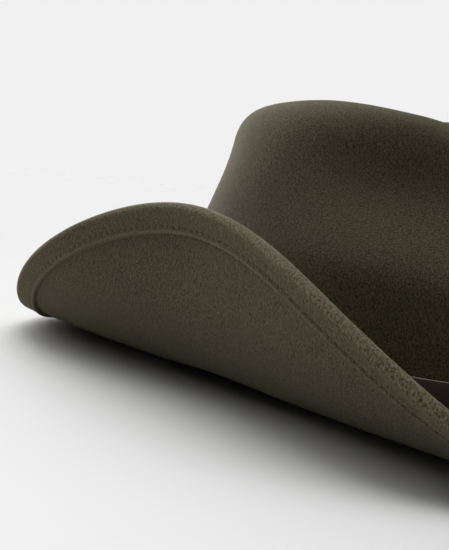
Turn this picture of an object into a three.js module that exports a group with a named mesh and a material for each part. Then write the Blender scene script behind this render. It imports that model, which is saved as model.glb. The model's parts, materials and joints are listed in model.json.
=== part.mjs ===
import * as THREE from 'three';

// A bush hat of wool felt: a pinched crown, a brim rolled up at both sides with a turned hem,
// and a leather band. Millimetres, +Z up, the front at -Y. The brim rests on Z = 0.

const { clamp, degToRad, lerp, smoothstep } = THREE.MathUtils;

// Felt and the head's oval, measured inside the crown's foot
const feltThickness = 2.2;
const headLength = 203.8;
const headWidth = 169.8;

// Brim, measured along the felt from the crown's foot to the folded edge
const brimWidth = 65;
const hemWidth = 10.3;
const hemThickness = 1.6;
const brimTipLift = 6.5;
const tipLiftStart = 0.7; // along the brim's half length
const footRadius = 3.5;

// Crown
const crownHeight = 102.5;
const shoulderRadius = 15.8;

// Band
const bandHeight = 12.8;
const bandThickness = 1.8;
const bandClearance = 0.3;

// How the brim rolls up, by place along the hat: 0 at the middle, 1 at the front and back tips.
// flat: half the width that stays flat, as a share of half the oval's width
// rolled: where the roll ends, as a share of half the brim's whole width
// slope: the felt's slope where the roll ends, in degrees
const brimRoll = [
  { along: 0.0, flat: 0.687, rolled: 0.888, slope: 86.7 },
  { along: 0.5, flat: 0.651, rolled: 0.997, slope: 87.8 },
  { along: 1.0, flat: 0.575, rolled: 1.062, slope: 91.5 },
];

// The crown's sections, by angle from the front in degrees.
// lean: how far the ridge stands in from the foot, as a share of half the oval's width
// flare: above 1 the wall leans in most at its top, below 1 at its foot
// height: the ridge's height, as a share of the crown's height
// dent: how deep the wall is pinched, as a share of half the oval's width
// crease: how far the top dips below the ridge, as a share of the crown's height
const crownSections = [
  { angle: 0, lean: 0.3, flare: 1.4, height: 0.885, dent: 0.0, crease: 0.08 },
  { angle: 35, lean: 0.357, flare: 1.52, height: 0.893, dent: 0.111, crease: 0.17 },
  { angle: 65, lean: 0.318, flare: 1.225, height: 0.957, dent: 0.203, crease: 0.24 },
  { angle: 100, lean: 0.408, flare: 1.27, height: 1.003, dent: 0.0, crease: 0.24 },
  { angle: 140, lean: 0.277, flare: 0.883, height: 0.989, dent: 0.036, crease: 0.16 },
  { angle: 180, lean: 0.288, flare: 0.995, height: 0.978, dent: 0.0, crease: 0.08 },
];
const dentCentre = 0.802; // up the wall, as a share of its height
const dentReach = 0.364; // above and below that, the same way
const creaseFront = 0.42; // the crease's ends, as shares of half the oval's length
const creaseBack = 0.36;

// Fineness of the mesh
const angleSteps = 64;
const rollSteps = 48;
const hemRows = 3;
const edgeRows = 3;
const brimRows = 11;
const footRows = 3;
const wallRows = 8;
const shoulderRows = 4;
const domeRows = 7;
const bandRows = 2;

const halfLength = (headLength + feltThickness) / 2;
const halfWidth = (headWidth + feltThickness) / 2;
const brimHalfLength = halfLength + brimWidth;
const brimHalfWidth = halfWidth + brimWidth;
const restHeight = feltThickness / 2;
const edgeRadius = (feltThickness + hemThickness) / 2;

const feltMaterial = new THREE.MeshStandardMaterial({ color: 0x605a45, roughness: 0.95, metalness: 0 });
const leatherMaterial = new THREE.MeshStandardMaterial({ color: 0x2b1d19, roughness: 0.6, metalness: 0 });

// A column's value between two rows of a table, on a curve that is level at both ends
function readTable(rows, key, column, place) {
  const last = rows.length - 1;
  const at = clamp(place, rows[0][key], rows[last][key]);
  const upper = clamp(rows.findIndex((row) => row[key] >= at), 1, last);
  const slopeAt = (index) => {
    if (index === 0 || index === last) return 0;
    const before = rows[index - 1];
    const after = rows[index + 1];
    return (after[column] - before[column]) / (after[key] - before[key]);
  };
  const from = rows[upper - 1];
  const to = rows[upper];
  const span = to[key] - from[key];
  const t = (at - from[key]) / span;
  const rise = to[column] - from[column];
  const leave = slopeAt(upper - 1) * span - rise;
  const arrive = rise - slopeAt(upper) * span;
  return from[column] + rise * t + t * (1 - t) * (leave * (1 - t) + arrive * t);
}

// The middle of the flat felt at (x, y), after its sides are rolled up and its tips lifted.
// The felt keeps its length: its slope grows from 0 to the table's, and is summed along x.
function rollFelt(x, y) {
  const along = Math.abs(y) / brimHalfLength;
  const flat = readTable(brimRoll, 'along', 'flat', along) * halfWidth;
  const rolled = readTable(brimRoll, 'along', 'rolled', along) * brimHalfWidth;
  const slope = degToRad(readTable(brimRoll, 'along', 'slope', along));
  const step = Math.abs(x) / rollSteps;
  let across = 0;
  let up = restHeight + brimTipLift * smoothstep(along, tipLiftStart, 1);
  for (let k = 0; k < rollSteps; k += 1) {
    const turned = slope * smoothstep((k + 0.5) * step, flat, rolled);
    across += Math.cos(turned) * step;
    up += Math.sin(turned) * step;
  }
  return new THREE.Vector3(Math.sign(x) * across, y, up);
}

// The crown's foot and its outward direction, in the flat felt
function footOval(angle) {
  const point = new THREE.Vector2(halfWidth * Math.sin(angle), -halfLength * Math.cos(angle));
  const outward = new THREE.Vector2(halfLength * Math.sin(angle), -halfWidth * Math.cos(angle));
  return { point, outward: outward.normalize() };
}

function brimPoint(angle, distance) {
  const { point, outward } = footOval(angle);
  return rollFelt(point.x + outward.x * distance, point.y + outward.y * distance);
}

// One section of the crown, with the values that its points share
function crownSection(angle) {
  const turn = THREE.MathUtils.radToDeg(angle) % 360;
  const fromFront = Math.min(turn, 360 - turn);
  const read = (column) => readTable(crownSections, 'angle', column, fromFront);
  const foot = brimPoint(angle, 0);
  const ridgeHeight = read('height') * crownHeight + restHeight;
  return {
    foot,
    outward: footOval(angle).outward,
    lean: read('lean') * halfWidth,
    flare: read('flare'),
    dent: read('dent') * halfWidth,
    wallHeight: ridgeHeight - foot.z,
    ridgeHeight,
    creaseDepth: read('crease') * crownHeight,
    creaseY: -Math.cos(angle) * halfLength * (Math.cos(angle) > 0 ? creaseFront : creaseBack),
  };
}

// The middle of the crown's wall at a share of its height
function wallPoint(section, share) {
  const away = (share - dentCentre) / dentReach;
  const pinch = Math.abs(away) < 1 ? section.dent * Math.cos(away * Math.PI / 2) ** 2 : 0;
  const inward = section.lean * share ** section.flare + pinch;
  return new THREE.Vector3(
    section.foot.x - section.outward.x * inward,
    section.foot.y - section.outward.y * inward,
    section.foot.z + section.wallHeight * share,
  );
}

// A round corner: a curve that leaves one point and reaches another, drawn to the corner
function cornerPoint(from, corner, to, t) {
  return new THREE.QuadraticBezierCurve3(from, corner, to).getPoint(t);
}

// The middle of the felt along one section, from the brim's edge to the crease on the top
function feltSection(angle) {
  const section = crownSection(angle);
  const footShare = footRadius / section.wallHeight;
  const shoulderShare = 1 - shoulderRadius / section.wallHeight;
  const points = [];

  for (let row = 0; row < hemRows; row += 1) {
    points.push(brimPoint(angle, lerp(brimWidth - edgeRadius, brimWidth - hemWidth, row / hemRows)));
  }
  for (let row = 0; row < brimRows; row += 1) {
    points.push(brimPoint(angle, lerp(brimWidth - hemWidth, footRadius, row / (brimRows - 1))));
  }
  const brimEnd = points[points.length - 1];
  const wallStart = wallPoint(section, footShare);
  for (let row = 1; row < footRows; row += 1) {
    points.push(cornerPoint(brimEnd, section.foot, wallStart, row / footRows));
  }
  for (let row = 0; row < wallRows; row += 1) {
    points.push(wallPoint(section, lerp(footShare, shoulderShare, row / (wallRows - 1))));
  }

  const wallEnd = points[points.length - 1];
  const shoulder = wallPoint(section, 1);
  const crease = new THREE.Vector3(0, section.creaseY, section.ridgeHeight - section.creaseDepth);
  const inward = new THREE.Vector3(crease.x - shoulder.x, crease.y - shoulder.y, 0);
  const ridge = shoulder.clone().addScaledVector(inward.normalize(), shoulderRadius);
  for (let row = 1; row <= shoulderRows; row += 1) {
    points.push(cornerPoint(wallEnd, shoulder, ridge, row / shoulderRows));
  }
  for (let row = 1; row <= domeRows; row += 1) {
    const t = row / domeRows;
    const point = ridge.clone().lerp(crease, t);
    point.z = lerp(crease.z, ridge.z, (1 + Math.cos(Math.PI * t)) / 2);
    points.push(point);
  }
  return points;
}

// Points of the grid's row, each moved along its normal by a distance that is up or out of it
function offsetRow(grid, row, distance) {
  return grid.map((section, column) => section[row].clone()
    .addScaledVector(gridNormal(grid, column, row), distance));
}

// The normal of a grid of sections at one of its points, up or out of the felt
function gridNormal(grid, column, row) {
  const count = grid.length;
  const last = grid[0].length - 1;
  const around = grid[(column + 1) % count][row].clone().sub(grid[(column + count - 1) % count][row]);
  const inward = grid[column][Math.min(row + 1, last)].clone().sub(grid[column][Math.max(row - 1, 0)]);
  return around.cross(inward).normalize();
}

// A closed body made of rings of vertices around the hat
class Shell {
  constructor() {
    this.positions = [];
    this.triangles = [];
    this.rings = [];
  }

  addVertex(point) {
    this.positions.push(point.x, point.y, point.z);
    return this.positions.length / 3 - 1;
  }

  addRing(points) {
    this.rings.push(points.map((point) => this.addVertex(point)));
  }

  // A ring that is folded flat on itself, so that its left and right halves share vertices
  addSeam(points) {
    const half = points.slice(0, points.length / 2 + 1).map((point) => this.addVertex(point));
    this.rings.push(points.map((_, k) => half[Math.min(k, points.length - k)]));
  }

  // Leaves out a triangle that the seam has folded to a line
  addTriangle(a, b, c) {
    if (a !== b && b !== c && c !== a) this.triangles.push(a, b, c);
  }

  // Joins each ring to the next one. Seen from outside the body, each ring runs anticlockwise
  // about the hat's axis below the next one, or outside it on the top.
  join(closed) {
    const count = this.rings.length - (closed ? 0 : 1);
    for (let ring = 0; ring < count; ring += 1) {
      const from = this.rings[ring];
      const to = this.rings[(ring + 1) % this.rings.length];
      for (let k = 0; k < from.length; k += 1) {
        const next = (k + 1) % from.length;
        this.addTriangle(from[k], from[next], to[next]);
        this.addTriangle(from[k], to[next], to[k]);
      }
    }
  }

  toGeometry() {
    const geometry = new THREE.BufferGeometry();
    geometry.setAttribute('position', new THREE.Float32BufferAttribute(this.positions, 3));
    geometry.setIndex(this.triangles);
    geometry.computeVertexNormals();
    return geometry;
  }
}

const angles = Array.from({ length: angleSteps }, (_, k) => 2 * Math.PI * k / angleSteps);

// Crown, brim and hem are one piece of felt: from the crease inside the crown, out under the
// brim, around its folded edge, and back over the top to the crease outside
function makeFeltBody() {
  const grid = angles.map(feltSection);
  const top = grid[0].length - 1;
  const half = feltThickness / 2;
  const shell = new Shell();

  const creaseAt = (offset) => grid.map((section) => section[top].clone().setZ(section[top].z + offset));
  shell.addSeam(creaseAt(-half));
  for (let row = top - 1; row >= hemRows; row -= 1) shell.addRing(offsetRow(grid, row, -half));
  for (let row = hemRows; row >= 0; row -= 1) shell.addRing(offsetRow(grid, row, -half - hemThickness));
  for (let row = 1; row <= edgeRows; row += 1) {
    const turn = Math.PI * (row / (edgeRows + 1) - 0.5);
    shell.addRing(grid.map((section, column) => {
      const normal = gridNormal(grid, column, 0);
      const outward = section[0].clone().sub(section[1]).normalize();
      return section[0].clone()
        .addScaledVector(normal, edgeRadius * Math.sin(turn) - hemThickness / 2)
        .addScaledVector(outward, edgeRadius * Math.cos(turn));
    }));
  }
  for (let row = 0; row < top; row += 1) shell.addRing(offsetRow(grid, row, half));
  shell.addSeam(creaseAt(half));

  shell.join(false);
  const mesh = new THREE.Mesh(shell.toGeometry(), feltMaterial);
  mesh.name = 'felt_body';
  return mesh;
}

// A strap around the crown, standing on the round corner at the crown's foot
function makeHatBand() {
  const grid = angles.map((angle) => {
    const section = crownSection(angle);
    return Array.from({ length: bandRows + 1 }, (_, row) => {
      const height = footRadius + bandClearance + bandHeight * row / bandRows;
      return wallPoint(section, height / section.wallHeight);
    });
  });
  const inside = feltThickness / 2 + bandClearance;
  const shell = new Shell();
  for (let row = 0; row <= bandRows; row += 1) shell.addRing(offsetRow(grid, row, inside + bandThickness));
  for (let row = bandRows; row >= 0; row -= 1) shell.addRing(offsetRow(grid, row, inside));

  shell.join(true);
  const mesh = new THREE.Mesh(shell.toGeometry(), leatherMaterial);
  mesh.name = 'hat_band';
  return mesh;
}

const hat = new THREE.Group();
hat.add(makeFeltBody(), makeHatBand());

export default hat;
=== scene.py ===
# A bush hat of olive wool felt with a stitched hem and a leather band, lying on a pale studio floor.
# The scene is in metres, +Z up, with the hat's front at -Y. Sizes in the dictionaries are in millimetres
# and degrees, if nothing else is said beside them.
import json
import bpy
import numpy as np
from mathutils import Matrix

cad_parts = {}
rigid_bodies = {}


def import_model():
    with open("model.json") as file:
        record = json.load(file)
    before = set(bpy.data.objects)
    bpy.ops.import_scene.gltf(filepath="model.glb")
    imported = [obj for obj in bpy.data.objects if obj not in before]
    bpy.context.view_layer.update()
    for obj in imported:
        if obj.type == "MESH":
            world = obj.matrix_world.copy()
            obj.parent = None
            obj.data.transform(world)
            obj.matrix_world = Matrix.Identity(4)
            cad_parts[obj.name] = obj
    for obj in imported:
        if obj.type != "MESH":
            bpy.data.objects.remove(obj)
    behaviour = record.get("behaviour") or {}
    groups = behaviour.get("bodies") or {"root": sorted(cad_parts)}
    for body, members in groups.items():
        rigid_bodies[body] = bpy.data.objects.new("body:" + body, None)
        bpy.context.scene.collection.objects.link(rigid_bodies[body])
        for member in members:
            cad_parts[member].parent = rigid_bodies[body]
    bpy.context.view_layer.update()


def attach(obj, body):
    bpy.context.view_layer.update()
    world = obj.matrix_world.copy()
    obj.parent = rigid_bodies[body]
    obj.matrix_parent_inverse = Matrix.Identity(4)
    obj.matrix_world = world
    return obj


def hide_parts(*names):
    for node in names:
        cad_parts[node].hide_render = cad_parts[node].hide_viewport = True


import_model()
scene = bpy.context.scene
millimetre = 0.001
print("frame loaded")


# Small helpers
def linearColour(hexValue):
    # sRGB hex to linear: c/12.92 below 0.04045, otherwise ((c + 0.055)/1.055)^2.4
    value = hexValue.lstrip("#")
    channels = np.array([int(value[k:k + 2], 16) for k in (0, 2, 4)]) / 255
    linear = np.where(channels <= 0.04045, channels / 12.92, ((channels + 0.055) / 1.055) ** 2.4)
    return (*linear.tolist(), 1.0)


def smoothStep(value, low, high):
    # rises from 0 to 1 between low and high, level at both ends
    t = np.clip((value - low) / (high - low), 0, 1)
    return t * t * (3 - 2 * t)


def bell(value, place, width):
    # 1 at the place, and falls off as e to the minus square of the distance over the width
    return np.exp(-((value - place) / width) ** 2)


def unitVectors(vectors):
    return vectors / np.maximum(np.linalg.norm(vectors, axis=-1, keepdims=True), 1e-12)


def lengthAlong(line):
    # the distance along a line of points from its first point to each
    return np.r_[0, np.cumsum(np.linalg.norm(np.diff(line, axis=0), axis=1))]


def readTable(table, key, column, place):
    # a cubic curve through the rows, with the neighbours' slope at each row and level at both ends
    keys = np.array(table[key], float)
    values = np.array(table[column], float)
    slopes = np.zeros(len(keys))
    slopes[1:-1] = (values[2:] - values[:-2]) / (keys[2:] - keys[:-2])
    at = np.clip(place, keys[0], keys[-1])
    upper = np.clip(np.searchsorted(keys, at), 1, len(keys) - 1)
    span = keys[upper] - keys[upper - 1]
    t = (at - keys[upper - 1]) / span
    rise = values[upper] - values[upper - 1]
    leave = slopes[upper - 1] * span - rise
    arrive = rise - slopes[upper] * span
    return values[upper - 1] + rise * t + t * (1 - t) * (leave * (1 - t) + arrive * t)


def joinRings(ringCount, columns, closed):
    # quads between each ring and the next, and if closed from the last to the first; vertex numbers
    # run round the ring first
    last = ringCount if closed else ringCount - 1
    ring, column = np.meshgrid(np.arange(last), np.arange(columns), indexing="ij")
    beyond, after = (ring + 1) % ringCount, (column + 1) % columns
    return np.stack([ring * columns + column, ring * columns + after,
                     beyond * columns + after, beyond * columns + column], axis=-1).reshape(-1, 4)


def meshPiece(name, points, faces, material, uv=None, node=None):
    # points in mm as an (n, 3) array, faces as an (m, 3 or 4) array, uv as one pair per corner
    mesh = bpy.data.meshes.new(name)
    count, corners = faces.shape
    mesh.vertices.add(len(points))
    mesh.vertices.foreach_set("co", (points * millimetre).astype(np.float32).ravel())
    mesh.loops.add(count * corners)
    mesh.loops.foreach_set("vertex_index", faces.astype(np.int32).ravel())
    mesh.polygons.add(count)
    mesh.polygons.foreach_set("loop_start", np.arange(0, count * corners, corners, dtype=np.int32))
    mesh.polygons.foreach_set("use_smooth", np.ones(count, dtype=bool))
    mesh.update(calc_edges=True)
    mesh.validate()
    if uv is not None:
        layer = mesh.uv_layers.new(name="seam")
        layer.data.foreach_set("uv", uv.astype(np.float32).ravel())
    mesh.materials.append(material)
    piece = bpy.data.objects.new(name, mesh)
    scene.collection.objects.link(piece)
    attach(piece, "root")
    if node:
        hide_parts(node)


def addNode(tree, kind, settings=None, **links):
    # one node with its settings and inputs: i6 is the seventh input, From_Min the one of that name; a
    # link is (node, output), anything else a value
    node = tree.nodes.new(kind)
    for key, value in (settings or {}).items():
        setattr(node, key, value)
    for key, value in links.items():
        numbered = key[0] == "i" and key[1:].isdigit()
        socket = node.inputs[int(key[1:]) if numbered else key.replace("_", " ")]
        if isinstance(value, tuple) and len(value) == 2 and isinstance(value[0], bpy.types.Node):
            tree.links.new(value[0].outputs[value[1]], socket)
        else:
            socket.default_value = value
    return node


def newMaterial(name):
    material = bpy.data.materials.new(name)
    material.use_nodes = True
    tree = material.node_tree
    tree.nodes.clear()
    return material, tree


# Camera, at the photograph's place
cameraSettings = {
    "azimuth": -49.52,      # from the front; below 0 it is toward the wearer's right
    "distance": 380.0,      # from the hat's axis, level
    "height": 70.02,
    "aimHeight": 33.64,     # where the picture's middle row meets the hat's axis
    "aimPixel": 398.91,     # the hat's axis, in pixels from the left of a 449 wide picture
    "focalPixels": 949.33,
    "roll": 5.79,
    "pictureWidth": 449,
    "pictureHeight": 550,
    "sensorWidth": 36.0,
    "nearest": 10.0, "farthest": 50000.0,
}


def makeCamera(c):
    # the camera faces the hat's axis; pitch brings the aim height to the middle row, yaw brings the
    # axis to its own pixel, and roll leans the picture
    turn, roll = np.radians(c["azimuth"]), np.radians(c["roll"])
    place = np.array([c["distance"] * np.sin(turn), -c["distance"] * np.cos(turn), c["height"]])
    ahead = np.array([-np.sin(turn), np.cos(turn), 0.0])
    right = np.array([np.cos(turn), np.sin(turn), 0.0])
    pitch = np.arctan2(c["height"] - c["aimHeight"], c["distance"])
    yaw = np.arctan2(c["aimPixel"] - c["pictureWidth"] / 2, c["focalPixels"])
    level = ahead * np.cos(yaw) - right * np.sin(yaw)
    side = right * np.cos(yaw) + ahead * np.sin(yaw)
    forward = level * np.cos(pitch) - np.array([0, 0, 1.0]) * np.sin(pitch)
    up = np.cross(side, forward)
    side, up = side * np.cos(roll) + up * np.sin(roll), up * np.cos(roll) - side * np.sin(roll)
    data = bpy.data.cameras.new("photo_camera")
    data.sensor_width = c["sensorWidth"]
    data.lens = c["focalPixels"] * data.sensor_width / c["pictureHeight"]
    data.clip_start, data.clip_end = c["nearest"] * millimetre, c["farthest"] * millimetre
    camera = bpy.data.objects.new("photo_camera", data)
    rotation = Matrix(np.column_stack([side, up, -forward]).tolist()).to_4x4()
    camera.matrix_world = Matrix.Translation((place * millimetre).tolist()) @ rotation
    scene.collection.objects.link(camera)
    scene.camera = camera


makeCamera(cameraSettings)
print("camera placed")


# Studio: a wide pale floor and soft light from behind and above
studio = {
    "floorRings": [0.01, 300.0, 1000.0, 3000.0, 9000.0],    # radii
    "floorSides": 96,
    "floorColour": "#DBDBDB",
    "shadedFloorColour": "#D8D8D8",    # painted shade away from the hat, for the little less light the paper gets there
    "fallOffStart": 200.0, "fallOffEnd": 520.0,
    "backdropColour": "#F1F1F1",    # what the camera sees past the floor
    "roomStrength": 0.01,           # the dim room all round, which lights the hat very little
    # the softboxes are far away: turn is round the hat from its front, rise above the floor, and
    # spread the angle that the box fills; strength is the light on a surface that faces it
    "lights": [
        {"name": "low_back_softbox", "turn": 160, "rise": 12, "spread": 36, "strength": 4.0},
        {"name": "low_left_softbox", "turn": 190, "rise": 12, "spread": 36, "strength": 0.66},
        {"name": "left_softbox", "turn": 190, "rise": 34, "spread": 44, "strength": 0.9},
        {"name": "back_softbox", "turn": 160, "rise": 52, "spread": 40, "strength": 0.45},
        {"name": "high_back_softbox", "turn": 130, "rise": 72, "spread": 50, "strength": 1.3},
        {"name": "overhead_softbox", "turn": 130, "rise": 88, "spread": 50, "strength": 0.46},
        {"name": "right_softbox", "turn": 70, "rise": 40, "spread": 44, "strength": 0.55},
        {"name": "front_right_softbox", "turn": 10, "rise": 65, "spread": 60, "strength": 0.1},
    ],
}


def makeFloor(s):
    # matt seamless paper: no gloss, and no texture that the eye sees at this distance. It is a disc
    # of rings about the hat's axis: a radius times the sine of the turn across and its cosine along
    material, tree = newMaterial("matt_paper")
    where = addNode(tree, "ShaderNodeTexCoord")
    away = addNode(tree, "ShaderNodeVectorMath", {"operation": "LENGTH"}, i0=(where, "Object"))
    # painted shade: the paper's colour darkens from the fall-off start to its end, away from the hat, for the
    # light that falls off there
    far = addNode(tree, "ShaderNodeMapRange", {"interpolation_type": "SMOOTHSTEP"}, Value=(away, "Value"),
                  From_Min=s["fallOffStart"] * millimetre, From_Max=s["fallOffEnd"] * millimetre)
    colour = addNode(tree, "ShaderNodeMix", {"data_type": "RGBA"}, Factor=(far, "Result"),
                     i6=linearColour(s["floorColour"]), i7=linearColour(s["shadedFloorColour"]))
    shader = addNode(tree, "ShaderNodeBsdfPrincipled", Base_Color=(colour, 2), Roughness=1.0,
                     Specular_IOR_Level=0.0)
    addNode(tree, "ShaderNodeOutputMaterial", Surface=(shader, "BSDF"))
    turn = np.linspace(0, 2 * np.pi, s["floorSides"], endpoint=False)
    radius = np.array(s["floorRings"])
    points = np.stack([radius[:, None] * np.sin(turn), -radius[:, None] * np.cos(turn),
                       np.zeros((len(radius), len(turn)))], axis=-1)
    faces = joinRings(len(radius), len(turn), False)[:, ::-1]
    mesh = bpy.data.meshes.new("paper_floor")
    mesh.from_pydata((points.reshape(-1, 3) * millimetre).tolist(), [], faces.tolist())
    mesh.materials.append(material)
    floor = bpy.data.objects.new("paper_floor", mesh)
    scene.collection.objects.link(floor)


def makeSky(s):
    # camera rays that pass the floor meet pale paper, and all others meet a dim room
    world = bpy.data.worlds.new("studio_sky")
    world.use_nodes = True
    tree = world.node_tree
    tree.nodes.clear()
    room = addNode(tree, "ShaderNodeBackground", Color=(1, 1, 1, 1), Strength=s["roomStrength"])
    paper = addNode(tree, "ShaderNodeBackground", Color=linearColour(s["backdropColour"]), Strength=1.0)
    ray = addNode(tree, "ShaderNodeLightPath")
    seen = addNode(tree, "ShaderNodeMixShader", i0=(ray, "Is Camera Ray"),
                   i1=(room, "Background"), i2=(paper, "Background"))
    addNode(tree, "ShaderNodeOutputWorld", Surface=(seen, "Shader"))
    scene.world = world


def makeLights(s):
    # a lamp shines along its own -Z, so its Z axis points back from the hat to the softbox
    for lamp in s["lights"]:
        data = bpy.data.lights.new(lamp["name"], "SUN")
        data.energy, data.angle = lamp["strength"], np.radians(lamp["spread"])
        light = bpy.data.objects.new(lamp["name"], data)
        turn, rise = np.radians(lamp["turn"]), np.radians(lamp["rise"])
        back = np.array([np.sin(turn) * np.cos(rise), -np.cos(turn) * np.cos(rise), np.sin(rise)])
        side = unitVectors(np.cross([0, 0, 1.0], back))
        light.matrix_world = Matrix(np.column_stack([side, np.cross(back, side), back]).tolist()).to_4x4()
        scene.collection.objects.link(light)


makeFloor(studio)
makeSky(studio)
makeLights(studio)
scene.view_settings.view_transform = "Standard"    # plain sRGB, as the photograph has
print("studio built")


# Felt body
hatShape = {
    "feltThickness": 2.2, "headLength": 203.8, "headWidth": 169.8,
    "brimWidth": 65.0, "hemWidth": 10.3, "hemThickness": 1.6,
    "brimTipLift": 6.5, "tipLiftStart": 0.7, "footRadius": 3.5,
    "crownHeight": 102.5, "shoulderRadius": 15.8,
    "dentCentre": 0.802, "dentReach": 0.364, "creaseFront": 0.42, "creaseBack": 0.36,
    # how the sides roll up, by place along the hat from its middle to its tips
    "brimRoll": {
        "along": [0.0, 0.5, 1.0],
        "flat": [0.687, 0.651, 0.575],      # where the roll starts, as a share of the crown's half width
        "rolled": [0.888, 0.997, 1.062],    # where it ends, as a share of the flat brim's half width
        "slope": [86.7, 87.8, 91.5],        # the felt's slope there
    },
    # the crown's sections by angle from the front: how far the wall leans in and is pinched in, as
    # shares of the half width, the power of the lean, and the ridge's height and the crease's depth,
    # as shares of the crown's height
    "crown": {
        "angle": [0, 35, 65, 100, 140, 180],
        "lean": [0.30, 0.357, 0.318, 0.408, 0.277, 0.288],
        "flare": [1.40, 1.52, 1.225, 1.27, 0.883, 0.995],
        "height": [0.885, 0.893, 0.957, 1.003, 0.989, 0.978],
        "dent": [0.0, 0.111, 0.203, 0.0, 0.036, 0.0],
        "crease": [0.08, 0.17, 0.24, 0.24, 0.16, 0.08],
    },
    # the hem is thickest at its fold, sinks in along the stitching, and springs up again at its
    # inner edge, which has a round lip over a pressed line
    "foldPuff": 0.5, "foldFade": 2.0, "stitchLine": 8.0, "grooveDepth": 0.2, "grooveWidth": 1.6,
    "hemPuff": 0.15, "hemPuffWidth": 0.9, "hemLip": 0.45,
    "hemPress": 0.3, "pressPlace": 0.3, "pressWidth": 0.45,
    # it is turned by hand, and narrows toward the front; place is -1 at the front tip, 0 at the
    # sides' middle and 1 at the back tip
    "hem": {
        "place": [-1.0, -0.6, -0.3, 0.05, 0.4],
        "width": [8.6, 8.7, 9.2, 10.2, 10.3],
    },
    # how finely the surface is divided
    "angleSteps": 384, "rollSteps": 64, "hemRows": 18, "lipRows": 7, "brimRows": 26, "footRows": 6,
    "wallRows": 26, "shoulderRows": 12, "domeRows": 16, "edgeRows": 9,
    "pastLipRows": [0.12, 0.4, 0.75, 1.2, 1.8],    # how far they lie past the hem's inner edge
    "crownMark": 200.0,    # stands all over the crown for the distance from the brim's edge
}
halfThick = hatShape["feltThickness"] / 2
halfLength = (hatShape["headLength"] + hatShape["feltThickness"]) / 2
halfWidth = (hatShape["headWidth"] + hatShape["feltThickness"]) / 2
edgeRadius = halfThick + hatShape["hemThickness"] / 2


def rollFelt(flatPoints):
    # flat felt to rolled felt: its slope grows smoothly along x to the table's value, and the
    # place is the sum of the slope's cosines (across) and sines (up)
    x, y = flatPoints[..., 0], flatPoints[..., 1]
    along = np.abs(y) / (halfLength + hatShape["brimWidth"])
    table = hatShape["brimRoll"]
    flat = readTable(table, "along", "flat", along) * halfWidth
    rolled = readTable(table, "along", "rolled", along) * (halfWidth + hatShape["brimWidth"])
    slope = np.radians(readTable(table, "along", "slope", along))
    step = np.abs(x) / hatShape["rollSteps"]
    reached = (np.arange(hatShape["rollSteps"]) + 0.5) * step[..., None]
    turned = slope[..., None] * smoothStep(reached, flat[..., None], rolled[..., None])
    across = np.cos(turned).sum(-1) * step
    lift = hatShape["brimTipLift"] * smoothStep(along, hatShape["tipLiftStart"], 1)
    up = np.sin(turned).sum(-1) * step + halfThick + lift
    return np.stack([np.sign(x) * across, y, up], axis=-1)


def footOval(angle):
    # an ellipse about the crown's foot, by angle from the front, and its outward normal
    point = np.stack([halfWidth * np.sin(angle), -halfLength * np.cos(angle)], axis=-1)
    outward = np.stack([halfLength * np.sin(angle), -halfWidth * np.cos(angle)], axis=-1)
    return point, unitVectors(outward)


def brimPoints(angle, distance):
    # the felt at each angle and each distance out from the crown's foot; the distances are the same
    # at all angles, or (angles, rows)
    point, outward = footOval(angle)
    distance = distance + 0 * angle[:, None]
    return rollFelt(point[:, None, :] + outward[:, None, :] * distance[..., None])


def fromEdgeAt(angle, rows):
    # each row's distance from the brim's edge: rows are told as for the hem's full width. Where it is
    # narrower they close up in proportion, and those past the hem spread to fill the rest
    shape = hatShape
    point, outward = footOval(angle)
    place = (point[:, 1] + outward[:, 1] * shape["brimWidth"]) / (halfLength + shape["brimWidth"])
    width = readTable(shape["hem"], "place", "width", place)[:, None]
    last = shape["brimWidth"] - shape["footRadius"]
    onHem = edgeRadius + (rows - edgeRadius) * (width - edgeRadius) / (shape["hemWidth"] - edgeRadius)
    pastHem = width + (rows - shape["hemWidth"]) * (last - width) / (last - shape["hemWidth"])
    return np.where(rows <= shape["hemWidth"], onHem, pastHem)


def crownSections(angle):
    # the table's values at each angle, with the wall's foot, its height and its point on the crease
    turn = np.degrees(angle) % 360
    fromFront = np.minimum(turn, 360 - turn)
    names = ("lean", "flare", "height", "dent", "crease")
    section = {name: readTable(hatShape["crown"], "angle", name, fromFront) for name in names}
    section["foot"] = brimPoints(angle, np.zeros(1))[:, 0]
    section["outward"] = footOval(angle)[1]
    section["ridgeHeight"] = section["height"] * hatShape["crownHeight"] + halfThick
    section["wallHeight"] = section["ridgeHeight"] - section["foot"][:, 2]
    end = np.where(np.cos(angle) > 0, hatShape["creaseFront"], hatShape["creaseBack"])
    creaseHeight = section["ridgeHeight"] - section["crease"] * hatShape["crownHeight"]
    section["creasePoint"] = np.stack([0 * angle, -np.cos(angle) * halfLength * end, creaseHeight], axis=-1)
    return section


def wallPoints(section, share):
    # the wall leans in by a power of its share of the height, and is pinched by a squared cosine
    # about the dent's height; share is (angles, rows)
    away = np.clip((share - hatShape["dentCentre"]) / hatShape["dentReach"], -1, 1)
    pinch = (section["dent"] * halfWidth)[:, None] * np.cos(away * np.pi / 2) ** 2
    inward = (section["lean"] * halfWidth)[:, None] * share ** section["flare"][:, None] + pinch
    foot, outward = section["foot"][:, None, :], section["outward"][:, None, :]
    flat = foot[..., :2] - outward * inward[..., None]
    up = foot[..., 2:] + section["wallHeight"][:, None, None] * share[..., None]
    return np.concatenate([flat, up], axis=-1)


def roundCorner(start, corner, end, t):
    # a quadratic curve that leaves one point and reaches another, drawn to the corner
    start, corner, end = start[:, None, :], corner[:, None, :], end[:, None, :]
    t = t[None, :, None]
    return (1 - t) ** 2 * start + 2 * t * (1 - t) * corner + t ** 2 * end


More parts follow.
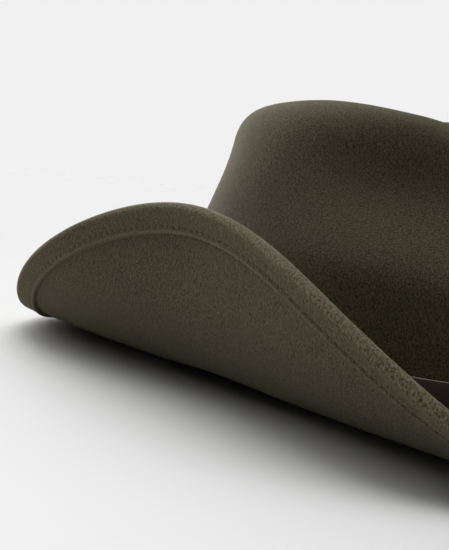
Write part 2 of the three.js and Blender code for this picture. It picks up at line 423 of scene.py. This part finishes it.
def feltMiddle(angle):
    # the middle of the felt from the brim's edge to the crease, and each row's distance from the
    # edge: brim, foot curve, wall, shoulder curve, and a half cosine down to the crease
    shape = hatShape
    section = crownSections(angle)
    lip = shape["hemWidth"] - shape["hemLip"] * np.cos(np.linspace(0, np.pi / 2, shape["lipRows"]))
    hemRows = np.r_[np.linspace(edgeRadius, lip[0], shape["hemRows"])[:-1], lip,
                    shape["hemWidth"] + np.array(shape["pastLipRows"])]
    brimRows = np.linspace(hemRows[-1], shape["brimWidth"] - shape["footRadius"], shape["brimRows"] + 1)[1:]
    fromEdge = np.r_[hemRows, brimRows]
    brim = brimPoints(angle, shape["brimWidth"] - fromEdgeAt(angle, fromEdge))
    footShare = shape["footRadius"] / section["wallHeight"]
    shoulderShare = 1 - shape["shoulderRadius"] / section["wallHeight"]
    rise = np.linspace(0, 1, shape["wallRows"])
    share = footShare[:, None] * (1 - rise) + shoulderShare[:, None] * rise
    wall = wallPoints(section, share)
    footArc = np.arange(1, shape["footRows"]) / shape["footRows"]
    foot = roundCorner(brim[:, -1], section["foot"], wall[:, 0], footArc)
    shoulder = wallPoints(section, np.ones((len(angle), 1)))[:, 0]
    crease = section["creasePoint"]
    inward = unitVectors((crease - shoulder) * [1, 1, 0])
    ridge = shoulder + inward * shape["shoulderRadius"]
    shoulderArc = np.arange(1, shape["shoulderRows"] + 1) / shape["shoulderRows"]
    corner = roundCorner(wall[:, -1], shoulder, ridge, shoulderArc)
    t = (np.arange(1, shape["domeRows"] + 1) / shape["domeRows"])[None, :, None]
    dome = ridge[:, None, :] * (1 - t) + crease[:, None, :] * t
    sag = (1 + np.cos(np.pi * t[..., 0])) / 2
    dome[..., 2] = crease[:, None, 2] * (1 - sag) + ridge[:, None, 2] * sag
    middle = np.concatenate([brim, foot, wall, corner, dome], axis=1)
    distance = np.r_[fromEdge, np.full(middle.shape[1] - len(fromEdge), shape["crownMark"])]
    return middle, distance


def seamLengths(angle):
    # the distance along the stitching from the front to each angle, and last its whole length
    angle = np.r_[angle, angle[0]]
    fromEdge = fromEdgeAt(angle, np.array([hatShape["stitchLine"]]))
    return lengthAlong(brimPoints(angle, hatShape["brimWidth"] - fromEdge)[:, 0])


def gridNormals(grid):
    # the cross product of the way round and the way in
    around = np.roll(grid, -1, axis=0) - np.roll(grid, 1, axis=0)
    inward = np.empty_like(grid)
    inward[:, 1:-1] = grid[:, 2:] - grid[:, :-2]
    inward[:, 0], inward[:, -1] = grid[:, 1] - grid[:, 0], grid[:, -1] - grid[:, -2]
    normals = unitVectors(np.cross(around, inward))
    normals[:, -1] = [0, 0, 1]    # along the crease both sides of the felt meet
    return normals


def cornerUv(along, across, faces):
    # one (u, v) pair per corner of the quads: u is the place round the ring and v the place across
    # the rings; along has one more value than a ring has columns, so the last quad closes at the end
    columns = len(along) - 1
    column = faces % columns
    closing = (column == 0) & (column.max(axis=1, keepdims=True) == columns - 1)
    u = np.where(closing, along[-1], along[column])
    return np.stack([u, across[faces // columns]], axis=-1)


def makeFelt(shape, material):
    # a closed skin: from the crease down through the hollow, out under the brim, round its edge, and
    # back over the top to the crease. Each side is the felt's middle moved along its normal
    angle = np.linspace(0, 2 * np.pi, shape["angleSteps"], endpoint=False)
    middle, fromEdge = feltMiddle(angle)
    normals = gridNormals(middle)
    # the hem's height over the brim: full, then a quarter round lip, then nothing past its edge
    hem = shape["hemWidth"]
    past = np.clip((fromEdge - hem) / shape["hemLip"] + 1, 0, 1)
    lipDrop = shape["hemLip"] * (1 - np.sqrt(1 - past ** 2))
    puff = (shape["hemPuff"] * bell(fromEdge, hem - shape["hemPuffWidth"], shape["hemPuffWidth"])
            + shape["foldPuff"] * bell(fromEdge, edgeRadius, shape["foldFade"]))
    hemRise = np.where(fromEdge <= hem, shape["hemThickness"] + puff - lipDrop, 0)
    pressed = bell(fromEdge, hem + shape["pressPlace"], shape["pressWidth"])
    press = shape["hemPress"] * pressed * (fromEdge > hem)
    groove = shape["grooveDepth"] * bell(fromEdge, shape["stitchLine"], shape["grooveWidth"] / 2)
    under = middle - normals * (halfThick + hemRise - press - groove)[None, :, None]
    over = middle + normals * (halfThick - groove)[None, :, None]
    # the fold is a half circle about the middle of felt and hem, with the bead on its hem side
    turn = np.pi * (np.arange(1, shape["edgeRows"] + 1) / (shape["edgeRows"] + 1) - 0.5)
    outward = unitVectors(middle[:, 0] - middle[:, 1])
    bead = shape["foldPuff"] * (1 - np.sin(turn)) / 2
    upward = edgeRadius * np.sin(turn) - shape["hemThickness"] / 2 - bead
    edge = (middle[:, :1] + normals[:, :1] * upward[None, :, None]
            + outward[:, None, :] * (edgeRadius * np.cos(turn))[None, :, None])
    grid = np.concatenate([under[:, ::-1], edge, over], axis=1)
    distances = np.r_[fromEdge[::-1], np.zeros(shape["edgeRows"]), fromEdge]
    faces = joinRings(grid.shape[1], len(angle), False)
    uv = cornerUv(seamLengths(angle), distances, faces) * millimetre
    points = grid.transpose(1, 0, 2).reshape(-1, 3)
    # the crease at either end is folded flat: one half uses the other half's vertices
    columns = np.arange(len(angle))
    folded = np.minimum(columns, (len(angle) - columns) % len(angle))
    renumber = np.arange(len(points))
    renumber[:len(angle)] = folded
    renumber[-len(angle):] = len(points) - len(angle) + folded
    faces = renumber[faces]
    # a quad that the fold has narrowed to a triangle repeats a corner, so all are cut to triangles
    triangles = np.concatenate([faces[:, [0, 1, 2]], faces[:, [0, 2, 3]]])
    uv = np.concatenate([uv[:, [0, 1, 2]], uv[:, [0, 2, 3]]])
    whole = (np.diff(np.sort(triangles, axis=1), axis=1) > 0).all(axis=1)
    triangles, uv = triangles[whole], uv[whole]
    used, compact = np.unique(triangles, return_inverse=True)
    meshPiece("felt_body_visual", points[used], compact.reshape(triangles.shape), material,
              uv=uv, node="felt_body")
    print("felt body:", len(triangles), "triangles")


# Felt material
feltLook = {
    "napLight": "#736B55",           # fibre tips that catch the light
    "napDark": "#342F1E",            # gaps between the tufts
    "napRange": [0.34, 0.66],        # the noise that is all gap, and all tips
    "handled": "#56513D",            # where brushing and handling have evened the nap
    "handledShare": 0.35, "handledRange": [0.3, 0.7],
    "tuftSize": 0.7,                 # real tufts are about half that, drawn as fine as the picture shows
    "tuftDetail": 3.0, "tuftRoughness": 0.65,
    "fibreSize": 0.3, "fibreDetail": 1.0,
    "patchSize": 26.0,               # slow changes of shade from brushing and handling
    "patchDetail": 3.0,
    "brushedLonger": 1.5,            # the nap is brushed up and down, so its tufts are longer that way
    "fold": "#A39B80",               # painted highlight along the brim's fold, for the light its rounded top catches
    "foldHighlightWidth": 3.2, "foldHighlightShare": 0.55,
    "cutEdge": "#8C856C",            # painted highlight along the hem's inner lip, between the stitching and the brim, where its upper side catches light
    "lipHighlightWidth": 1.4, "lipHighlightShare": 0.24,
    "dipRadius": 1.0,                # where each stitch pulls the felt in
    "dipShade": 0.6,                 # painted shade: how much darker a dip's bottom is coloured
    "reliefDepth": 0.5,              # for a height of 1
    "reliefStrength": 0.9,
    "roughness": 0.95, "gloss": 0.12,
    "sheen": "#C9C5AE", "sheenWeight": 0.36, "sheenRoughness": 0.28,
}


def makeFeltMaterial(c, shape, stitchPitch):
    # brushed wool felt: short matt fibres with no gloss. Their tips catch light from behind, so the
    # outline is pale, and the surface is mottled where tufts lean different ways. Along the hem each
    # stitch pulls in a small dip with painted shade in it, and painted highlights lie along the brim's
    # fold and the hem's lip; the UV map gives the place along the seam and across it
    material, tree = newMaterial("brushed_wool_felt")
    pitch, halfLipHighlight = stitchPitch * millimetre, c["lipHighlightWidth"] / 2 * millimetre
    seamPlace, hemPlace = shape["stitchLine"] * millimetre, shape["hemWidth"] * millimetre
    where = addNode(tree, "ShaderNodeTexCoord")
    wide, tall = c["brushedLonger"] ** 0.5, c["brushedLonger"] ** -0.5
    brushed = addNode(tree, "ShaderNodeMapping", Vector=(where, "Object"), Scale=(wide, wide, tall))
    tufts = addNode(tree, "ShaderNodeTexNoise", Vector=(brushed, "Vector"), Scale=1000 / c["tuftSize"],
                    Detail=c["tuftDetail"], Roughness=c["tuftRoughness"])
    fibres = addNode(tree, "ShaderNodeTexNoise", Vector=(brushed, "Vector"), Scale=1000 / c["fibreSize"],
                     Detail=c["fibreDetail"])
    patches = addNode(tree, "ShaderNodeTexNoise", Vector=(where, "Object"), Scale=1000 / c["patchSize"],
                      Detail=c["patchDetail"])
    tuftShare = addNode(tree, "ShaderNodeMapRange", Value=(tufts, "Fac"),
                        From_Min=c["napRange"][0], From_Max=c["napRange"][1])
    nap = addNode(tree, "ShaderNodeMix", {"data_type": "RGBA"}, Factor=(tuftShare, "Result"),
                  i6=linearColour(c["napDark"]), i7=linearColour(c["napLight"]))
    patchShare = addNode(tree, "ShaderNodeMapRange", Value=(patches, "Fac"), From_Min=c["handledRange"][0],
                         From_Max=c["handledRange"][1], To_Min=0.0, To_Max=c["handledShare"])
    even = addNode(tree, "ShaderNodeMix", {"data_type": "RGBA"}, Factor=(patchShare, "Result"),
                   i6=(nap, 2), i7=linearColour(c["handled"]))
    # a dip deepens toward the nearest stitch's middle
    seam = addNode(tree, "ShaderNodeUVMap", {"uv_map": "seam"})
    split = addNode(tree, "ShaderNodeSeparateXYZ", Vector=(seam, "UV"))
    counted = addNode(tree, "ShaderNodeMath", {"operation": "MULTIPLY"}, i0=(split, "X"), i1=1 / pitch)
    within = addNode(tree, "ShaderNodeMath", {"operation": "FRACT"}, i0=(counted, "Value"))
    beside = addNode(tree, "ShaderNodeMath", {"operation": "MULTIPLY_ADD"}, i0=(within, "Value"),
                     i1=pitch, i2=-pitch / 2)
    across = addNode(tree, "ShaderNodeMath", {"operation": "SUBTRACT"}, i0=(split, "Y"), i1=seamPlace)
    apart = addNode(tree, "ShaderNodeCombineXYZ", X=(beside, "Value"), Y=(across, "Value"))
    distance = addNode(tree, "ShaderNodeVectorMath", {"operation": "LENGTH"}, i0=(apart, "Vector"))
    dip = addNode(tree, "ShaderNodeMapRange", {"interpolation_type": "SMOOTHSTEP"}, Value=(distance, "Value"),
                  From_Min=0.0, From_Max=c["dipRadius"] * millimetre, To_Min=1.0, To_Max=0.0)
    # painted shade: the dip's colour darkens toward its bottom
    shade = addNode(tree, "ShaderNodeMath", {"operation": "MULTIPLY"}, i0=(dip, "Result"), i1=c["dipShade"])
    stitched = addNode(tree, "ShaderNodeMix", {"data_type": "RGBA"}, Factor=(shade, "Value"),
                       i6=(even, 2), i7=linearColour(c["napDark"]))
    # painted highlight along the hem's lip: palest half its width out from the hem's inner edge
    offEdge = addNode(tree, "ShaderNodeMath", {"operation": "SUBTRACT"}, i0=(split, "Y"), i1=hemPlace - halfLipHighlight)
    awayFromEdge = addNode(tree, "ShaderNodeMath", {"operation": "ABSOLUTE"}, i0=(offEdge, "Value"))
    lipHighlightMask = addNode(tree, "ShaderNodeMapRange", {"interpolation_type": "SMOOTHSTEP"},
                        Value=(awayFromEdge, "Value"), From_Min=0.0, From_Max=halfLipHighlight,
                        To_Min=c["lipHighlightShare"], To_Max=0.0)
    lipHighlighted = addNode(tree, "ShaderNodeMix", {"data_type": "RGBA"}, Factor=(lipHighlightMask, "Result"),
                    i6=(stitched, 2), i7=linearColour(c["cutEdge"]))
    # painted highlight along the brim's fold, shown at the tufts' tips
    foldHighlightShare = addNode(tree, "ShaderNodeMapRange", {"interpolation_type": "SMOOTHSTEP"}, Value=(split, "Y"),
                        From_Min=0.0, From_Max=c["foldHighlightWidth"] * millimetre, To_Min=c["foldHighlightShare"], To_Max=0.0)
    foldHighlight = addNode(tree, "ShaderNodeMath", {"operation": "MULTIPLY"}, i0=(foldHighlightShare, "Result"),
                      i1=(tuftShare, "Result"))
    colour = addNode(tree, "ShaderNodeMix", {"data_type": "RGBA"}, Factor=(foldHighlight, "Value"),
                     i6=(lipHighlighted, 2), i7=linearColour(c["fold"]))
    pile = addNode(tree, "ShaderNodeMath", {"operation": "ADD"}, i0=(tufts, "Fac"), i1=(fibres, "Fac"))
    height = addNode(tree, "ShaderNodeMath", {"operation": "SUBTRACT"}, i0=(pile, "Value"), i1=(dip, "Result"))
    bump = addNode(tree, "ShaderNodeBump", Height=(height, "Value"), Strength=c["reliefStrength"],
                   Distance=c["reliefDepth"] * millimetre)
    shader = addNode(tree, "ShaderNodeBsdfPrincipled", Base_Color=(colour, 2), Roughness=c["roughness"],
                     Specular_IOR_Level=c["gloss"], Sheen_Weight=c["sheenWeight"],
                     Sheen_Roughness=c["sheenRoughness"], Sheen_Tint=linearColour(c["sheen"]),
                     Normal=(bump, "Normal"))
    addNode(tree, "ShaderNodeOutputMaterial", Surface=(shader, "BSDF"))
    return material


# Stitching along the hem
stitching = {
    "pitch": 3.3,             # from one needle hole to the next
    "gap": 0.9,               # between one stitch and the next
    "threadRadius": 0.2,
    "sink": 0.25,             # how far the thread's middle lies under the groove's bottom
    "arch": 0.2,              # how much higher a stitch's middle is than its ends
    "endTurn": 0.94,          # how near its ends come to the cosine's zero, 1 being a point
    "fullness": 0.4,          # the cosine's power: the less, the fuller the stitch
    "sides": 5, "rings": 5,
    "lineSteps": 1536,        # points along the line that the stitches follow
    "besideLine": 0.5,        # how far beside it the felt's slope is read
    "thread": "#5B5641", "threadDark": "#3F3A28",
    "twistSize": 0.4, "twistDetail": 2.0, "twistDepth": 0.1, "twistStrength": 0.4,
    "roughness": 0.9, "gloss": 0.15,
}
seamLength = seamLengths(np.linspace(0, 2 * np.pi, hatShape["angleSteps"], endpoint=False))[-1]
stitchCount = int(round(seamLength / stitching["pitch"]))
stitchPitch = seamLength / stitchCount


def seamLine(s, face):
    # the stitching's place on one face of the felt, and the felt's normal there; face is the height
    # over the felt's middle, less than 0 on the hem's side
    angle = np.linspace(0, 2 * np.pi, s["lineSteps"], endpoint=False)
    beside = hatShape["stitchLine"] + np.array([-1, 0, 1]) * s["besideLine"]
    middle = brimPoints(angle, hatShape["brimWidth"] - fromEdgeAt(angle, beside))
    normals = gridNormals(middle)[:, 1] * np.sign(face)
    line = middle[:, 1] + normals * abs(face)
    return np.concatenate([line, line[:1]]), np.concatenate([normals, normals[:1]])


def makeStitches(s, material):
    # each stitch is a small capsule along the line: its radius is a power of a cosine, least at both
    # ends, and its middle stands higher than its ends, which go into the felt
    over = halfThick - hatShape["grooveDepth"]
    share = np.linspace(-0.5, 0.5, s["rings"])
    swell = np.cos(share * np.pi * s["endTurn"])
    radius = s["threadRadius"] * swell ** s["fullness"]
    turn = np.arange(s["sides"]) / s["sides"] * 2 * np.pi
    start = np.arange(stitchCount)[:, None] * stitchPitch
    at = start + stitchPitch / 2 + share * (stitchPitch - s["gap"])
    corner = np.arange(s["sides"])
    after = (corner + 1) % s["sides"]
    ring = np.arange(s["rings"] - 1)[:, None] * s["sides"]
    quads = np.stack([ring + corner, ring + s["sides"] + corner, ring + s["sides"] + after, ring + after],
                     axis=-1).reshape(-1, 4)
    cap = np.stack([0 * corner[1:-1], corner[1:-1], corner[2:]], axis=-1)
    farCap = cap[:, ::-1] + (s["rings"] - 1) * s["sides"]
    single = np.concatenate([quads[:, [0, 1, 2]], quads[:, [0, 2, 3]], cap, farCap])
    heights = {"hem_stitching_under": -over - hatShape["hemThickness"], "hem_stitching_over": over}
    for name, face in heights.items():
        line, normals = seamLine(s, face)
        length = lengthAlong(line)
        length *= seamLength / length[-1]    # so a stitch lies opposite its dip on both faces
        centre = np.stack([np.interp(at, length, line[:, k]) for k in range(3)], axis=-1)
        lift = unitVectors(np.stack([np.interp(at, length, normals[:, k]) for k in range(3)], axis=-1))
        along = unitVectors(np.gradient(centre, axis=1))
        across = unitVectors(np.cross(along, lift))
        centre = centre + lift * (s["arch"] * swell - s["sink"])[:, None]
        rim = across[:, :, None] * np.cos(turn)[:, None] + lift[:, :, None] * np.sin(turn)[:, None]
        points = centre[:, :, None] + rim * radius[:, None, None]
        faces = (single + (np.arange(stitchCount) * s["rings"] * s["sides"])[:, None, None]).reshape(-1, 3)
        meshPiece(name, points.reshape(-1, 3), faces, material)
        print(name + ":", stitchCount, "stitches,", len(faces), "triangles")


def makeThreadMaterial(s):
    # twisted cotton thread in the felt's own shade, matt and half sunk in the nap
    material, tree = newMaterial("olive_cotton_thread")
    where = addNode(tree, "ShaderNodeTexCoord")
    twist = addNode(tree, "ShaderNodeTexNoise", Vector=(where, "Object"), Scale=1000 / s["twistSize"],
                    Detail=s["twistDetail"])
    colour = addNode(tree, "ShaderNodeMix", {"data_type": "RGBA"}, Factor=(twist, "Fac"),
                     i6=linearColour(s["threadDark"]), i7=linearColour(s["thread"]))
    bump = addNode(tree, "ShaderNodeBump", Height=(twist, "Fac"), Strength=s["twistStrength"],
                   Distance=s["twistDepth"] * millimetre)
    shader = addNode(tree, "ShaderNodeBsdfPrincipled", Base_Color=(colour, 2), Roughness=s["roughness"],
                     Specular_IOR_Level=s["gloss"], Normal=(bump, "Normal"))
    addNode(tree, "ShaderNodeOutputMaterial", Surface=(shader, "BSDF"))
    return material


makeFelt(hatShape, makeFeltMaterial(feltLook, hatShape, stitchPitch))
makeStitches(stitching, makeThreadMaterial(stitching))


# Leather band
bandShape = {
    "height": 12.8, "thickness": 1.8, "clearance": 0.3,
    "cornerRadius": 0.45, "cornerRows": 4, "faceRows": 8, "angleSteps": 384,
    "slopeStep": 0.01,    # the share of the wall's height over which its slope is read
}


def makeBand(b, material):
    # a profile with round corners, carried round the crown's wall: out is the distance from the
    # felt's middle, rise the height up the wall
    angle = np.linspace(0, 2 * np.pi, b["angleSteps"], endpoint=False)
    section = crownSections(angle)
    inside = halfThick + b["clearance"]
    outside = inside + b["thickness"]
    bottom = hatShape["footRadius"] + b["clearance"]
    top = bottom + b["height"]
    arc = np.linspace(0, np.pi / 2, b["cornerRows"])
    r = b["cornerRadius"]
    corner = np.stack([np.sin(arc), 1 - np.cos(arc)], axis=-1) * r
    face = np.linspace(bottom + r, top - r, b["faceRows"])[1:-1]
    # out and rise, anticlockwise from the outside bottom corner, with 1 where the leather is cut
    profile = np.concatenate([
        np.stack([outside - r + corner[:, 0], bottom + corner[:, 1]], axis=-1),
        np.stack([np.full(len(face), outside), face], axis=-1),
        np.stack([outside - corner[:, 1], top - r + corner[:, 0]], axis=-1),
        np.stack([inside + r - corner[:, 0], top - corner[:, 1]], axis=-1),
        np.stack([np.full(len(face), inside), face[::-1]], axis=-1),
        np.stack([inside + corner[:, 1], bottom + r - corner[:, 0]], axis=-1),
    ])
    toFace, toEdge = np.linspace(1, 0, len(arc)), np.linspace(0, 1, len(arc))
    cut = np.tile(np.concatenate([toFace, np.zeros(len(face)), toEdge]), 2)
    share = profile[None, :, 1] / section["wallHeight"][:, None]
    wall = wallPoints(section, share)
    higher = wallPoints(section, share + b["slopeStep"])
    rising = unitVectors(higher - wall)
    around = unitVectors(np.roll(wall, -1, axis=0) - np.roll(wall, 1, axis=0))
    normals = unitVectors(np.cross(around, rising))
    points = wall + normals * profile[None, :, 0, None]
    faces = joinRings(len(profile), len(angle), True)
    length = lengthAlong(np.concatenate([points[:, 0], points[:1, 0]])) * millimetre
    meshPiece("leather_band", points.transpose(1, 0, 2).reshape(-1, 3), faces, material,
              uv=cornerUv(length, cut, faces), node="hat_band")
    print("leather band:", len(faces) * 2, "triangles")


leatherLook = {
    "face": "#5B4A46",
    "faceDark": "#473936",
    "cutEdge": "#97887C",
    "cutRange": [0.35, 0.65],    # the UV map's second value where the cut edge starts, and is full
    "grainSize": 0.7, "grainDepth": 0.12, "grainStrength": 0.35,
    "creaseSize": 6.0, "creaseDetail": 5.0,
    "faceRoughness": 0.48, "cutRoughness": 0.85,
}


def makeLeatherMaterial(c):
    # aniline-dyed strap leather: a satin face with fine grain pores; its cut edges are raw, paler
    # and matt
    material, tree = newMaterial("dyed_strap_leather")
    where = addNode(tree, "ShaderNodeTexCoord")
    seam = addNode(tree, "ShaderNodeUVMap", {"uv_map": "seam"})
    split = addNode(tree, "ShaderNodeSeparateXYZ", Vector=(seam, "UV"))
    pores = addNode(tree, "ShaderNodeTexVoronoi", Vector=(where, "Object"), Scale=1000 / c["grainSize"])
    creases = addNode(tree, "ShaderNodeTexNoise", Vector=(where, "Object"), Scale=1000 / c["creaseSize"],
                      Detail=c["creaseDetail"])
    face = addNode(tree, "ShaderNodeMix", {"data_type": "RGBA"}, Factor=(creases, "Fac"),
                   i6=linearColour(c["faceDark"]), i7=linearColour(c["face"]))
    onEdge = addNode(tree, "ShaderNodeMapRange", Value=(split, "Y"),
                     From_Min=c["cutRange"][0], From_Max=c["cutRange"][1])
    colour = addNode(tree, "ShaderNodeMix", {"data_type": "RGBA"}, Factor=(onEdge, "Result"),
                     i6=(face, 2), i7=linearColour(c["cutEdge"]))
    roughness = addNode(tree, "ShaderNodeMapRange", Value=(onEdge, "Result"),
                        To_Min=c["faceRoughness"], To_Max=c["cutRoughness"])
    bump = addNode(tree, "ShaderNodeBump", Height=(pores, "Distance"), Strength=c["grainStrength"],
                   Distance=c["grainDepth"] * millimetre)
    shader = addNode(tree, "ShaderNodeBsdfPrincipled", Base_Color=(colour, 2), Roughness=(roughness, "Result"),
                     Normal=(bump, "Normal"))
    addNode(tree, "ShaderNodeOutputMaterial", Surface=(shader, "BSDF"))
    return material


makeBand(bandShape, makeLeatherMaterial(leatherLook))

print("done")
